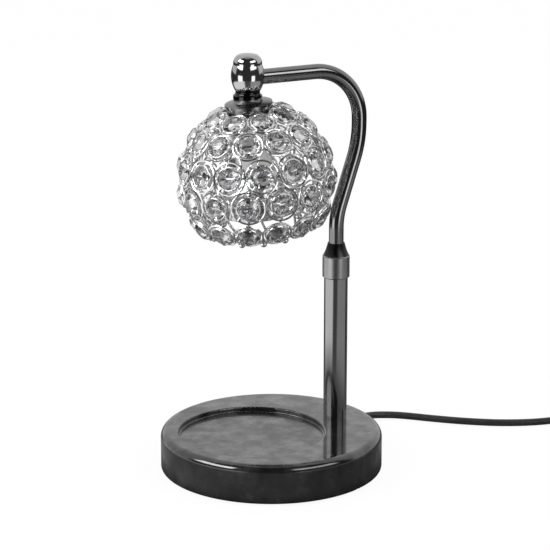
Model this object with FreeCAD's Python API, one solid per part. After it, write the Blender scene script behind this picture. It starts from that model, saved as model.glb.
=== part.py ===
"""Candle warmer lamp: polished stone foot with a jar recess, telescopic post, swan-neck arm and crystal ball shade.

Millimetres, +Z up. The origin is the middle of the foot's underside. +X runs from the
jar recess towards the post, and the head hangs over the recess.
"""
import FreeCAD, Part
import math
import os

Vec = FreeCAD.Vector
UP = Vec(0, 0, 1)

# Foot: a turned stone disc on a thin rubber pad
BASE_D = 150.0
BASE_TOP = 27.5
BASE_TOP_ROUND = 5.0
BASE_FOOT_ROUND = 1.5
PAD_D = 138.0
PAD_T = 1.2
RECESS_X = -15.0
RECESS_D = 99.0
RECESS_DEPTH = 3.5
RECESS_LIP_ROUND = 0.8
POCKET_D = 36.0
POCKET_ROOF = 7.5

# Post and the stud that clamps it to the foot
POST_MARGIN = 26.0
POST_D = 16.0
POST_WALL = 1.2
POST_H = 100.0
PLUG_H = 14.0
STUD_D = 10.0
STUD_BORE = 7.0
STUD_DROP = 14.5
STUD_RISE = 14.5
STUD_HOLE_GAP = 0.2
STUD_WASHER_D = 28.0
STUD_WASHER_T = 1.5
STUD_NUT_FLATS = 15.0
STUD_NUT_H = 5.0

# Height lock: threaded sleeve, split collet and turning nut on top of the post
SLEEVE_DEPTH = 11.5
SLEEVE_THREAD_D = 14.4
SLEEVE_THREAD_H = 12.5
COLLET_H = 8.0
COLLET_FOOT_D = 13.8
COLLET_TOP_D = 11.8
COLLET_SLIT = 1.2
NUT_D = 18.4
NUT_SKIRT_H = 15.2
NUT_CONE_H = 8.5
NUT_LIP = 0.5
NUT_GAP = 0.3
COLLET_ROOM = 0.4

# Swan-neck arm: corners of its centre line are rounded to these radii
ARM_D = 10.0
ARM_WALL = 1.0
ARM_FOOT_Z = 58.0
ARM_RISE = 12.5
BEND_HIGH_DROP = 49.5
BEND_LOW_DROP = 99.5
ARM_BULGE = 16.7
BEND_LOW_R = 50.0
BEND_HIGH_R = 75.0
BEND_TOP_R = 33.5
RUN_GAP = 0.05
BUSH_H = 8.0
BUSH_RISE = 2.0
CLIP_D = 12.6
CLIP_T = 1.4
CLIP_GAP = 0.3

# Barrel at the end of the arm
HEAD_X = -17.0
SEAT_Z = 257.0
BARREL_FOOT_D = 19.0
BARREL_FOOT_H = 1.4
BARREL_NECK_D = 16.0
BARREL_NECK_H = 4.2
BARREL_BELLY_D = 21.6
BARREL_BELLY_H = 13.0
BARREL_SHOULDER_D = 18.6
BARREL_H = 21.5
BARREL_BORE = 13.6
BARREL_FLOOR = 3.0
FINIAL_H = 7.1
FINIAL_CROWN_D = 12.4
FINIAL_SPIGOT = 5.0
FINIAL_WALL = 1.6

# Head: everything below the barrel hangs a few degrees off plumb, towards the post
HEAD_TILT = 6.5
NIPPLE_RISE = 7.5
NIPPLE_DROP = 7.0
NIPPLE_NUT_D = 12.0
NIPPLE_NUT_H = 3.0
BRACKET_D = 17.6
BRACKET_T = 1.2
BRACKET_LEG_W = 6.0
BRACKET_LEG_GAP = 0.6
BRACKET_DROP = 11.0
SCREW_D = 2.4
SCREW_HEAD_D = 4.4
SCREW_HEAD_H = 1.6
SCREW_LEN = 7.0
SCREW_LEG_GAP = 0.2
HOLDER_D = 25.0
HOLDER_H = 22.0
WIRE_D = 2.0
WIRE_PITCH = 10.0
WIRE_HOLE_GAP = 0.3
WIRE_BEND = 1.2

# Twist-lock bulb: two headed pins, reflector and front glass
PIN_PITCH = 10.0
PIN_HEAD_D = 4.8
PIN_HEAD_H = 3.0
PIN_NECK_D = 2.5
PIN_NECK_H = 4.0
PIN_GAP = 0.35
PIN_POCKET_H = 9.0
TWIST = 15.0
CONTACT_D = 4.0
CONTACT_T = 0.8
BULB_GAP = 0.3
BULB_NECK_D = 25.0
BULB_NECK_H = 12.5
BULB_FACE_D = 50.0
BULB_FLARE_H = 28.0
BULB_RIM_H = 3.5
BULB_GLASS = 1.6
LENS_T = 2.0
LENS_GAP = 0.05
CAPSULE_D = 8.0
CAPSULE_H = 20.0

# Crystal ball shade
BALL_R = 53.0
BALL_DROP = 55.4
CAP_EDGE_D = 31.2
CAP_T = 1.2
CAP_HUB_D = 18.0
CAP_OVER_BALL = 1.0
CROWN_LATITUDE = 72.5
CROWN_WALL = 1.6
WIRE_FRAME_D = 1.6
CRYSTAL_D = 14.0
CRYSTAL_TABLE_D = 7.4
CRYSTAL_T = 5.0
CRYSTAL_GIRDLE = 1.4
CRYSTAL_SIDES = 8
BEZEL_GAP = 0.05
BEZEL_WALL = 0.95
BEZEL_H = 2.6
BEZEL_BACK = 0.6
RIB_COUNT = 12
RIB_LEAN = 14.0
RIM_LATITUDE = -43.0
RIM_BEAD_D = 4.8
# Rows of crystals from the top: name, latitude, crystals in the row, bearing of the first
ROWS = (
    ("one", 61.0, 8, -97.0),
    ("two", 41.0, 12, -90.0),
    ("three", 17.0, 14, -85.0),
    ("four", -6.0, 14, -97.9),
    ("five", -32.0, 14, -102.0),
)

# Mains lead
CORD_D = 5.0
EXIT_BEARING = 45.0
EXIT_Z = 5.6
CHANNEL_W = 8.0
RELIEF_ROOT_D = 9.0
RELIEF_TIP_D = 6.4
RELIEF_OUT = 20.0
RELIEF_IN = 6.0
RELIEF_NECK = 3.0
RELIEF_FLANGE_D = 7.6
LEAD_BEND = 7.0
SUPPLY_LEAD_TOP = 44.0
LIFT_LEAD_D = 4.4
# Route on the table from the strain relief to the in-line dimmer
LEAD_ROUTE = (
    (94.0, 45.0, EXIT_Z), (105.0, 49.2, 4.3), (116.8, 48.6, 2.9), (127.3, 43.2, CORD_D / 2),
    (143.8, 26.7, CORD_D / 2), (161.2, 11.2, CORD_D / 2), (182.0, -3.5, CORD_D / 2),
    (206.0, -13.8, CORD_D / 2), (227.0, -19.5, 3.6), (243.6, -23.4, 8.4), (258.5, -27.4, 9.6),
)
# In-line dimmer, lying on the table along DIMMER_BEARING
DIMMER_BEARING = -15.0
DIMMER_L = 58.0
DIMMER_W = 26.0
DIMMER_H = 18.0
DIMMER_SPLIT_Z = 9.6
DIMMER_WALL = 1.6
DIMMER_ROUND = 3.0
WHEEL_D = 17.4
WHEEL_W = 6.0
WHEEL_PROUD = 2.0
WHEEL_GAP = 0.5
WHEEL_NOTCHES = 24
AXLE_D = 3.0
BEARING_T = 2.0
POT_D = 12.0
POT_GAP = 0.4
# Coil of put-away lead, with its tie, and the plug
COIL_LIFT = 1.2
COIL_OUTER = 38.0
COIL_PITCH = 5.7
COIL_TURNS = 3
COIL_AFTER = 46.0
TIE_T = 0.9
TIE_W = 9.0
TIE_GAP = 0.4
TAIL_RUN = 20.0
ENTRY_EASE = 15.0
PLUG_L = 32.0
PLUG_W = 24.0
PLUG_T = 15.0
PLUG_ROUND = 3.5
PLUG_RELIEF_L = 18.0
BLADE_W = 6.3
BLADE_T = 1.5
BLADE_L = 17.0
BLADE_PITCH = 12.7
BLADE_ROOT = 6.0

os.makedirs("parts", exist_ok=True)
POST_X = BASE_D / 2 - POST_MARGIN
POST_FOOT_Z = BASE_TOP
POST_TOP_Z = POST_FOOT_Z + POST_H
POST_BORE = POST_D - 2 * POST_WALL
ARM_TOP_Z = SEAT_Z + ARM_RISE
BEND_HIGH_Z = ARM_TOP_Z - BEND_HIGH_DROP
BEND_LOW_Z = ARM_TOP_Z - BEND_LOW_DROP


def save(name, *solids):
    """Write one node: a single solid, or a group of separate ones."""
    shape = solids[0] if len(solids) == 1 else Part.makeCompound(list(solids))
    print(f"{name:22s} solids {len(shape.Solids):3d} volume {shape.Volume:12.2f} valid {shape.isValid()}")
    shape.exportStep(f"parts/{name}.step")


def rod(diameter, foot, height, x=0.0, y=0.0):
    return Part.makeCylinder(diameter / 2, height, Vec(x, y, foot), UP)


def ring(outer, inner, foot, height, x=0.0, y=0.0):
    return rod(outer, foot, height, x, y).cut(rod(inner, foot, height, x, y))


def block(length, width, height, x, y, foot):
    """A box centred on x and y, standing on foot."""
    return Part.makeBox(length, width, height, Vec(x - length / 2, y - width / 2, foot))


def turned(outline, x=0.0):
    """Revolve a closed outline of (radius, z) points and arcs about the vertical through x.

    An item of two pairs is an arc: a point it passes through, then its end.
    """
    edges, last = [], None
    for item in outline + outline[:1]:
        through = Vec(item[0][0], 0, item[0][1]) if isinstance(item[0], tuple) else None
        end = item[1] if through else item
        here = Vec(end[0], 0, end[1])
        if last is not None and here.distanceToPoint(last) > 1e-6:
            edges.append(Part.Arc(last, through, here).toShape() if through else Part.makeLine(last, here))
        last = here
    solid = Part.Face(Part.Wire(edges)).revolve(Vec(0, 0, 0), UP, 360)
    solid.translate(Vec(x, 0, 0))
    return solid


def rounded_route(points, radii=None):
    """Straight runs joined by tangent arcs. Without radii each arc is as large as its runs allow."""
    points = [Vec(*p) for p in points]
    edges, start, used = [], points[0], []
    for i in range(1, len(points) - 1):
        back, ahead = points[i - 1] - points[i], points[i + 1] - points[i]
        turn = math.pi - back.getAngle(ahead)
        if radii:
            radius = radii[i - 1]
        else:
            radius = 0.45 * min(back.Length, ahead.Length) / math.tan(turn / 2)
        reach = radius * math.tan(turn / 2)
        back.normalize()
        ahead.normalize()
        enter, leave = points[i] + back * reach, points[i] + ahead * reach
        inward = back + ahead
        inward.normalize()
        middle = points[i] + inward * (radius / math.cos(turn / 2) - radius)
        edges.append(Part.LineSegment(start, enter).toShape())
        edges.append(Part.Arc(enter, middle, leave).toShape())
        start = leave
        used.append(radius)
    edges.append(Part.LineSegment(start, points[-1]).toShape())
    return Part.Wire(edges), used


def swept(path, outer, inner=0.0):
    """A round tube, or a rod, along a route."""
    first = path.OrderedEdges[0]
    start, along = first.valueAt(first.FirstParameter), first.tangentAt(first.FirstParameter)
    disc = Part.Face(Part.Wire(Part.makeCircle(outer / 2, start, along)))
    if inner:
        disc = disc.cut(Part.Face(Part.Wire(Part.makeCircle(inner / 2, start, along))))
        disc = disc.Faces[0]
    return path.makePipe(disc)


def hexagon(flats, foot, height, bore, x=0.0):
    corners = [Vec(x + flats / math.sqrt(3) * math.cos(math.radians(60 * k)),
                   flats / math.sqrt(3) * math.sin(math.radians(60 * k)), foot) for k in range(7)]
    return Part.Face(Part.makePolygon(corners)).extrude(UP * height).cut(rod(bore, foot, height, x))


def tapered(root_d, tip_d, length, start, along):
    return Part.makeCone(root_d / 2, tip_d / 2, length, start, along)


def foot_and_post():
    half = BASE_D / 2
    disc = rod(BASE_D, PAD_T, BASE_TOP - PAD_T)
    top_edge = [e for e in disc.Edges if e.Curve.TypeId == "Part::GeomCircle" and e.CenterOfMass.z > BASE_TOP - 1]
    disc = disc.makeFillet(BASE_TOP_ROUND, top_edge)
    low_edge = [e for e in disc.Edges if e.Curve.TypeId == "Part::GeomCircle" and e.CenterOfMass.z < PAD_T + 0.1]
    disc = disc.makeFillet(BASE_FOOT_ROUND, low_edge)
    recess = RECESS_D / 2
    floor = BASE_TOP - RECESS_DEPTH
    lip = RECESS_LIP_ROUND
    disc = disc.cut(turned([
        (0, floor), (recess - lip, floor), ((recess - lip * 0.293, floor + lip * 0.293), (recess, floor + lip)),
        (recess, BASE_TOP - lip), ((recess + lip * 0.293, BASE_TOP - lip * 0.293), (recess + lip, BASE_TOP)),
        (recess + lip, BASE_TOP + 1), (0, BASE_TOP + 1)], RECESS_X))
    pocket_top = BASE_TOP - POCKET_ROOF
    disc = disc.cut(rod(POCKET_D, 0, pocket_top, POST_X))
    disc = disc.cut(rod(STUD_D + 2 * STUD_HOLE_GAP, 0, BASE_TOP + 1, POST_X))
    channel = Part.makeBox(BASE_D, CHANNEL_W, EXIT_Z + CHANNEL_W / 2, Vec(0, -CHANNEL_W / 2, 0))
    channel.rotate(Vec(0, 0, 0), UP, EXIT_BEARING)
    channel.translate(Vec(POST_X, 0, 0))
    disc = disc.cut(channel)
    save("base_body", disc)
    save("base_foot_pad", rod(PAD_D, 0, PAD_T))

    save("stud", ring(STUD_D, STUD_BORE, BASE_TOP - STUD_DROP, STUD_DROP + STUD_RISE, POST_X))
    washer_foot = pocket_top - STUD_WASHER_T
    save("stud_washer", ring(STUD_WASHER_D, STUD_D, washer_foot, STUD_WASHER_T, POST_X))
    save("stud_nut", hexagon(STUD_NUT_FLATS, washer_foot - STUD_NUT_H, STUD_NUT_H, STUD_D, POST_X))
    save("post_plug", ring(POST_BORE, STUD_D, POST_FOOT_Z, PLUG_H, POST_X))
    save("post_tube", ring(POST_D, POST_BORE, POST_FOOT_Z, POST_H, POST_X))


def height_lock():
    bore = ARM_D / 2 + RUN_GAP
    thread = SLEEVE_THREAD_D / 2
    thread_top = POST_TOP_Z + SLEEVE_THREAD_H
    save("lock_sleeve", turned([
        (bore, POST_TOP_Z - SLEEVE_DEPTH), (POST_BORE / 2, POST_TOP_Z - SLEEVE_DEPTH),
        (POST_BORE / 2, POST_TOP_Z), (thread, POST_TOP_Z), (thread, thread_top), (bore, thread_top)], POST_X))
    collet = turned([
        (bore, thread_top), (COLLET_FOOT_D / 2, thread_top),
        (COLLET_TOP_D / 2, thread_top + COLLET_H), (bore, thread_top + COLLET_H)], POST_X)
    slit = Part.makeBox(NUT_D, COLLET_SLIT, COLLET_H, Vec(POST_X, -COLLET_SLIT / 2, thread_top))
    save("grip_collet", collet.cut(slit))
    foot = POST_TOP_Z + NUT_GAP
    skirt_top = foot + NUT_SKIRT_H
    top = skirt_top + NUT_CONE_H
    mouth = bore + COLLET_ROOM / 2
    save("lock_nut", turned([
        (thread + RUN_GAP, foot), (NUT_D / 2 - NUT_LIP, foot), (NUT_D / 2, foot + NUT_LIP),
        (NUT_D / 2, skirt_top - NUT_LIP), (NUT_D / 2 - NUT_LIP, skirt_top),
        ((NUT_D / 2 - NUT_LIP - 1.6, skirt_top + NUT_CONE_H * 0.42), (mouth + NUT_LIP, top)), (mouth, top),
        (mouth, thread_top + COLLET_H + COLLET_ROOM),
        (COLLET_TOP_D / 2 + COLLET_ROOM, thread_top + COLLET_H + COLLET_ROOM),
        (COLLET_FOOT_D / 2 + COLLET_ROOM, thread_top + COLLET_ROOM),
        (thread + RUN_GAP, thread_top + COLLET_ROOM)], POST_X))


def arm_line():
    """Corners of the arm's centre line, from its foot in the post to the barrel."""
    out_x = POST_X + ARM_BULGE
    corners = [(POST_X, 0, ARM_FOOT_Z), (POST_X, 0, BEND_LOW_Z), (out_x, 0, BEND_HIGH_Z), (out_x, 0, ARM_TOP_Z)]
    return corners, [BEND_LOW_R, BEND_HIGH_R, BEND_TOP_R]


def arm():
    corners, radii = arm_line()
    end_x = HEAD_X + BARREL_BORE / 2
    route, _ = rounded_route(corners + [(end_x, 0, ARM_TOP_Z)], radii)
    save("arm_tube", swept(route, ARM_D, ARM_D - 2 * ARM_WALL))
    bush_foot = ARM_FOOT_Z + BUSH_RISE
    save("guide_bush", ring(POST_BORE - 2 * RUN_GAP, ARM_D + 2 * RUN_GAP, bush_foot, BUSH_H, POST_X))
    save("bush_clips",
         ring(CLIP_D, ARM_D, bush_foot - CLIP_GAP - CLIP_T, CLIP_T, POST_X),
         ring(CLIP_D, ARM_D, bush_foot + BUSH_H + CLIP_GAP, CLIP_T, POST_X))


def hung(shape):
    """Take a piece drawn about the head's own axis, seat at zero, to its tilted place on the lamp."""
    moved = shape.copy()
    moved.Placement = FreeCAD.Placement(
        Vec(HEAD_X, 0, SEAT_Z), FreeCAD.Rotation(Vec(0, 1, 0), -HEAD_TILT)).multiply(moved.Placement)
    return moved


def barrel():
    top = SEAT_Z + BARREL_H
    foot, neck = BARREL_FOOT_D / 2, BARREL_NECK_D / 2
    belly, shoulder = BARREL_BELLY_D / 2, BARREL_SHOULDER_D / 2
    below = SEAT_Z - 3
    flare_z = SEAT_Z + (BARREL_FOOT_H + BARREL_NECK_H) * 0.43
    body = turned([
        (0, below), (foot, below), (foot, SEAT_Z + BARREL_FOOT_H),
        ((neck + (foot - neck) * 0.2, flare_z), (neck, SEAT_Z + BARREL_NECK_H)),
        ((belly, SEAT_Z + BARREL_BELLY_H), (shoulder, top)), (0, top)], HEAD_X)
    room = 2 * BARREL_BELLY_D
    under = hung(block(room, room, room, 0, 0, -room))
    bore = rod(BARREL_BORE, below, BARREL_H + 3, HEAD_X).cut(hung(block(room, room, room, 0, 0, BARREL_FLOOR - room)))
    side_hole = Part.makeCylinder(ARM_D / 2, belly + 5, Vec(HEAD_X, 0, ARM_TOP_Z), Vec(1, 0, 0))
    body = body.cut(under).cut(bore).cut(side_hole).cut(hung(rod(STUD_D, -NIPPLE_DROP, NIPPLE_DROP + NIPPLE_RISE)))
    save("barrel_body", body)
    spigot = BARREL_BORE / 2
    crown = FINIAL_CROWN_D / 2
    save("barrel_finial", turned([
        (spigot - FINIAL_WALL, top - FINIAL_SPIGOT), (spigot, top - FINIAL_SPIGOT), (spigot, top), (shoulder, top),
        ((shoulder - 0.8, top + FINIAL_H * 0.55), (crown, top + FINIAL_H * 0.87)),
        ((crown / 2, top + FINIAL_H * 0.97), (crown * 0.1, top + FINIAL_H)), (0, top + FINIAL_H),
        (0, top + FINIAL_H * 0.5), (spigot - FINIAL_WALL, top)], HEAD_X))
    save("head_nipple", hung(ring(STUD_D, STUD_BORE, -NIPPLE_DROP, NIPPLE_RISE + NIPPLE_DROP)))
    save("nipple_nuts",
         hung(ring(NIPPLE_NUT_D, STUD_D, BARREL_FLOOR, NIPPLE_NUT_H)),
         hung(ring(NIPPLE_NUT_D, STUD_D, -CAP_T - BRACKET_T - NIPPLE_NUT_H, NIPPLE_NUT_H)))


def lampholder():
    plate_top = -CAP_T
    leg_x = NIPPLE_NUT_D / 2 + BRACKET_LEG_GAP + BRACKET_T / 2
    screw_x = leg_x + BRACKET_T / 2 + SCREW_LEG_GAP + SCREW_HEAD_D / 2
    tab_l = BRACKET_T + SCREW_LEG_GAP + SCREW_HEAD_D
    tab_x = leg_x + (tab_l - BRACKET_T) / 2
    tab_top = -BRACKET_DROP + BRACKET_T
    bracket = ring(BRACKET_D, STUD_D, plate_top - BRACKET_T, BRACKET_T)
    for side in (-1, 1):
        leg = block(BRACKET_T, BRACKET_LEG_W, BRACKET_DROP - CAP_T, side * leg_x, 0, -BRACKET_DROP)
        tab = block(tab_l, BRACKET_LEG_W, BRACKET_T, side * tab_x, 0, -BRACKET_DROP)
        bracket = bracket.fuse(leg).fuse(tab)
    bracket = bracket.removeSplitter()
    for side in (-1, 1):
        bracket = bracket.cut(rod(SCREW_D, -BRACKET_DROP - BRACKET_T, 3 * BRACKET_T, side * screw_x))
    save("holder_bracket", hung(bracket))

    screws = [rod(SCREW_HEAD_D, tab_top, SCREW_HEAD_H, side * screw_x).fuse(
        rod(SCREW_D, tab_top - SCREW_LEN, SCREW_LEN, side * screw_x)) for side in (-1, 1)]
    save("holder_screws", *[hung(s) for s in screws])

    holder_top = -BRACKET_DROP
    holder_foot = holder_top - HOLDER_H
    holder = rod(HOLDER_D, holder_foot, HOLDER_H)
    holder = holder.makeChamfer(1.0, [e for e in holder.Edges if e.Curve.TypeId == "Part::GeomCircle"])
    for s in screws:
        holder = holder.cut(s)
    pin_room = PIN_HEAD_D + 2 * PIN_GAP
    roof = holder_foot + PIN_POCKET_H
    for side in (0, 180):
        pocket = pin_slot(pin_room, holder_foot, PIN_POCKET_H)
        pocket.rotate(Vec(0, 0, 0), UP, side)
        holder = holder.cut(pocket)
        wire_hole = rod(WIRE_D + 2 * WIRE_HOLE_GAP, roof, holder_top - roof, WIRE_PITCH / 2)
        wire_hole.rotate(Vec(0, 0, 0), UP, side)
        holder = holder.cut(wire_hole)
    save("lampholder", hung(holder))
    contacts = [rod(CONTACT_D, roof - CONTACT_T, CONTACT_T, side * WIRE_PITCH / 2) for side in (-1, 1)]
    save("holder_contacts", *[hung(c) for c in contacts])
    wires = []
    for side in (-1, 1):
        near, far = side * WIRE_D * 0.6, side * WIRE_PITCH / 2
        route, _ = rounded_route([(0, near, -NIPPLE_DROP - WIRE_D * 0.75), (far, 0, holder_top + WIRE_D * 0.8),
                                  (far, 0, roof)], [WIRE_BEND])
        wires.append(swept(route, WIRE_D))
    save("holder_wires", *[hung(w) for w in wires])


def pin_slot(width, foot, height):
    """The curved pocket that one bulb pin turns through, opening downwards."""
    radius = PIN_PITCH / 2
    sector = ring(2 * radius + width, 2 * radius - width, foot, height)
    start, end = -TWIST, 0.0
    corners = [Vec(0, 0, foot)] + [
        Vec(3 * radius * math.cos(math.radians(a)), 3 * radius * math.sin(math.radians(a)), foot)
        for a in (start, (start + end) / 2, end)] + [Vec(0, 0, foot)]
    wedge = Part.Face(Part.makePolygon(corners)).extrude(UP * height)
    slot = sector.common(wedge)
    for angle in (start, end):
        pin = rod(width, foot, height, radius)
        pin.rotate(Vec(0, 0, 0), UP, angle)
        slot = slot.fuse(pin)
    return slot


def bulb():
    top = -BRACKET_DROP - HOLDER_H - BULB_GAP
    neck_foot = top - BULB_NECK_H
    face = neck_foot - BULB_FLARE_H - BULB_RIM_H
    neck, rim = BULB_NECK_D / 2, BULB_FACE_D / 2
    pins = [rod(PIN_NECK_D, top, PIN_NECK_H, side * PIN_PITCH / 2).fuse(
        rod(PIN_HEAD_D, top + PIN_NECK_H, PIN_HEAD_H, side * PIN_PITCH / 2)) for side in (-1, 1)]
    save("bulb_pins", *[hung(p) for p in pins])
    base = turned([(0, neck_foot), (neck, neck_foot), (neck, top - 1.5), (neck - 1.5, top), (0, top)])
    save("bulb_base", hung(base))
    flare_top = neck_foot
    bow_r, bow_z = neck + (rim - neck) * 0.62, flare_top - BULB_FLARE_H * 0.38
    reflector = turned([
        (neck - 3.5, flare_top), (neck, flare_top), ((bow_r, bow_z), (rim, flare_top - BULB_FLARE_H)), (rim, face),
        (rim - BULB_GLASS, face), (rim - BULB_GLASS, flare_top - BULB_FLARE_H),
        ((bow_r - BULB_GLASS, bow_z - 0.6), (neck - 3.5, flare_top - 1.8))])
    save("bulb_reflector", hung(reflector))
    save("bulb_front_glass", hung(rod(BULB_FACE_D - 2 * BULB_GLASS - 2 * LENS_GAP, face + 0.6, LENS_T)))
    capsule = rod(CAPSULE_D, flare_top - CAPSULE_H + CAPSULE_D / 2, CAPSULE_H - CAPSULE_D / 2)
    capsule = capsule.fuse(Part.makeSphere(CAPSULE_D / 2, Vec(0, 0, flare_top - CAPSULE_H + CAPSULE_D / 2)))
    save("bulb_capsule", hung(capsule))


def on_ball(shape, latitude, bearing):
    """Take a piece drawn along +X at its distance from the ball's middle to its place on the ball."""
    moved = shape.copy()
    moved.rotate(Vec(0, 0, 0), Vec(0, 1, 0), -latitude)
    moved.rotate(Vec(0, 0, 0), UP, bearing)
    moved.translate(Vec(0, 0, -BALL_DROP))
    return hung(moved)


def crystal():
    """A flat-backed crystal with a facetted crown, its table facing +X."""
    back = BALL_R - CRYSTAL_T
    step = 360.0 / CRYSTAL_SIDES

    def loop(x, diameter, shift):
        return [Vec(x, diameter / 2 * math.cos(math.radians(step * k + shift)),
                    diameter / 2 * math.sin(math.radians(step * k + shift))) for k in range(CRYSTAL_SIDES)]

    lower, upper = loop(back, CRYSTAL_D, 0), loop(back + CRYSTAL_GIRDLE, CRYSTAL_D, 0)
    table = loop(BALL_R, CRYSTAL_TABLE_D, step / 2)
    faces = [lower, table]
    for k in range(CRYSTAL_SIDES):
        after, before = (k + 1) % CRYSTAL_SIDES, (k - 1) % CRYSTAL_SIDES
        faces.append([lower[k], lower[after], upper[after], upper[k]])
        faces.append([upper[k], upper[after], table[k]])
        faces.append([upper[k], table[k], table[before]])
    shell = Part.makeShell([Part.Face(Part.makePolygon(f + f[:1])) for f in faces])
    solid = Part.makeSolid(shell)
    if solid.Volume < 0:
        solid.reverse()
    return solid


def bezel():
    inner = CRYSTAL_D / 2 + BEZEL_GAP
    foot = BALL_R - CRYSTAL_T - BEZEL_BACK
    tube = Part.makeCylinder(inner + BEZEL_WALL, BEZEL_H, Vec(foot, 0, 0), Vec(1, 0, 0))
    return tube.cut(Part.makeCylinder(inner, BEZEL_H, Vec(foot, 0, 0), Vec(1, 0, 0)))


def hoop_radius():
    """Distance of a hoop's centre line from the ball's middle, so that it bears on the backs of the bezels."""
    bezel_mid = CRYSTAL_D / 2 + BEZEL_GAP + BEZEL_WALL / 2
    back = BALL_R - CRYSTAL_T - BEZEL_BACK
    return math.sqrt(back ** 2 + bezel_mid ** 2) - WIRE_FRAME_D / 2


def hoop(latitude):
    reach = hoop_radius()
    band = Part.makeTorus(reach * math.cos(math.radians(latitude)), WIRE_FRAME_D / 2)
    band.translate(Vec(0, 0, reach * math.sin(math.radians(latitude)) - BALL_DROP))
    return hung(band)


def rib(reach, lean, bearing):
    """One leaning rib: an arc of a great circle from under the crown ring down to the rim hoop."""
    half_width = math.radians(lean)
    top = math.asin(math.sin(math.radians(CROWN_LATITUDE)) / math.cos(half_width))
    foot = math.asin(math.sin(math.radians(RIM_LATITUDE)) / math.cos(half_width))
    section = Part.Face(Part.Wire(Part.makeCircle(WIRE_FRAME_D / 2, Vec(reach, 0, 0), UP)))
    solid = section.revolve(Vec(0, 0, 0), Vec(0, -1, 0), math.degrees(top - foot))
    solid.rotate(Vec(0, 0, 0), Vec(0, -1, 0), math.degrees(foot))
    solid.rotate(Vec(0, 0, 0), Vec(1, 0, 0), lean)
    solid.rotate(Vec(0, 0, 0), UP, bearing)
    solid.translate(Vec(0, 0, -BALL_DROP))
    return hung(solid)


def shade():
    over = BALL_R + CAP_OVER_BALL
    edge, hub = CAP_EDGE_D / 2, CAP_HUB_D / 2

    def height(radius, at):
        return math.sqrt(radius ** 2 - at ** 2) - BALL_DROP

    under = over - CAP_T
    flare = hub + (edge - hub) * 0.35
    cap = turned([
        (STUD_D / 2, 0), (hub, 0), ((hub + 0.7, height(over, flare) + 0.5), (flare, height(over, flare))),
        ((edge * 0.83, height(over, edge * 0.83)), (edge, height(over, edge))), (edge, height(under, edge)),
        ((edge * 0.83, height(under, edge * 0.83)), (flare, height(under, flare))),
        (hub, -CAP_T), (STUD_D / 2, -CAP_T)])
    save("shade_cap", hung(cap))
    reach = hoop_radius()
    crown_r = reach * math.cos(math.radians(CROWN_LATITUDE))
    crown_z = reach * math.sin(math.radians(CROWN_LATITUDE)) - BALL_DROP + WIRE_FRAME_D / 2
    crown = ring(2 * crown_r + CROWN_WALL, 2 * crown_r - CROWN_WALL, crown_z, -crown_z)
    crown = crown.common(Part.makeSphere(under, Vec(0, 0, -BALL_DROP)))
    save("crown_ring", hung(crown))

    stone, setting = crystal(), bezel()
    for name, latitude, count, first in ROWS:
        count = int(round(count))
        bearings = [first + 360.0 * k / count for k in range(count)]
        save(f"crystal_row_{name}", *[on_ball(stone, latitude, b) for b in bearings])
        save(f"bezel_row_{name}", *[on_ball(setting, latitude, b) for b in bearings])
    save("shade_hoops", *[hoop(latitude) for latitude in [CROWN_LATITUDE] + [row[1] for row in ROWS] + [RIM_LATITUDE]])
    step = 360.0 / RIB_COUNT
    outer_reach = reach - WIRE_FRAME_D
    save("shade_ribs_outer", *[rib(outer_reach, RIB_LEAN, step * k) for k in range(RIB_COUNT)])
    inner_reach = outer_reach - WIRE_FRAME_D
    save("shade_ribs_inner", *[rib(inner_reach, -RIB_LEAN, step * k) for k in range(RIB_COUNT)])
    bead_drop = math.degrees((WIRE_FRAME_D + RIM_BEAD_D) / 2 / reach)
    bead = Part.makeSphere(RIM_BEAD_D / 2, Vec(reach, 0, 0))
    last_name, last_latitude, last_count, last_first = ROWS[-1]
    last_count = int(round(last_count))
    shift = 180.0 / last_count
    save("rim_beads", *[on_ball(bead, RIM_LATITUDE - bead_drop, last_first + shift + 360.0 * k / last_count)
                        for k in range(last_count)])


def exit_frame():
    """Where the lead's channel leaves the foot, and the level direction it points in."""
    bearing = math.radians(EXIT_BEARING)
    along = Vec(math.cos(bearing), math.sin(bearing), 0)
    half_run = POST_X * along.x
    reach = -half_run + math.sqrt(half_run ** 2 + (BASE_D / 2) ** 2 - POST_X ** 2)
    return Vec(POST_X, 0, EXIT_Z) + along * reach, along


def inner_leads():
    mouth, along = exit_frame()
    start = mouth - along * RELIEF_IN
    route, _ = rounded_route([tuple(start), (POST_X, 0, EXIT_Z), (POST_X, 0, SUPPLY_LEAD_TOP)], [LEAD_BEND])
    save("supply_lead", swept(route, CORD_D))
    save("lift_lead", rod(LIFT_LEAD_D, SUPPLY_LEAD_TOP, ARM_FOOT_Z - SUPPLY_LEAD_TOP, POST_X))
    corners, radii = arm_line()
    tilt = math.radians(HEAD_TILT)
    seat = Vec(HEAD_X, 0, SEAT_Z)
    down = Vec(math.sin(tilt), 0, -math.cos(tilt))
    up_axis = seat - down * ((ARM_TOP_Z - SEAT_Z) / math.cos(tilt))
    end = seat + down * (NIPPLE_DROP + 0.5)
    route, _ = rounded_route(corners + [tuple(up_axis), tuple(end)], radii + [5.0])
    save("arm_lead", swept(route, LIFT_LEAD_D))

    relief = tapered(RELIEF_ROOT_D, RELIEF_TIP_D, RELIEF_OUT, mouth, along).cut(rod(BASE_D, 0, BASE_TOP))
    relief = relief.fuse(Part.makeCylinder(RELIEF_FLANGE_D / 2, RELIEF_IN + RELIEF_NECK, mouth - along * RELIEF_IN, along))
    bore = Part.makeCylinder(CORD_D / 2, RELIEF_OUT + RELIEF_IN, mouth - along * RELIEF_IN, along)
    save("strain_relief", relief.cut(bore).cut(rod(3 * BASE_D, -BASE_D, BASE_D)))
    return start, mouth + along * RELIEF_OUT


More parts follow.
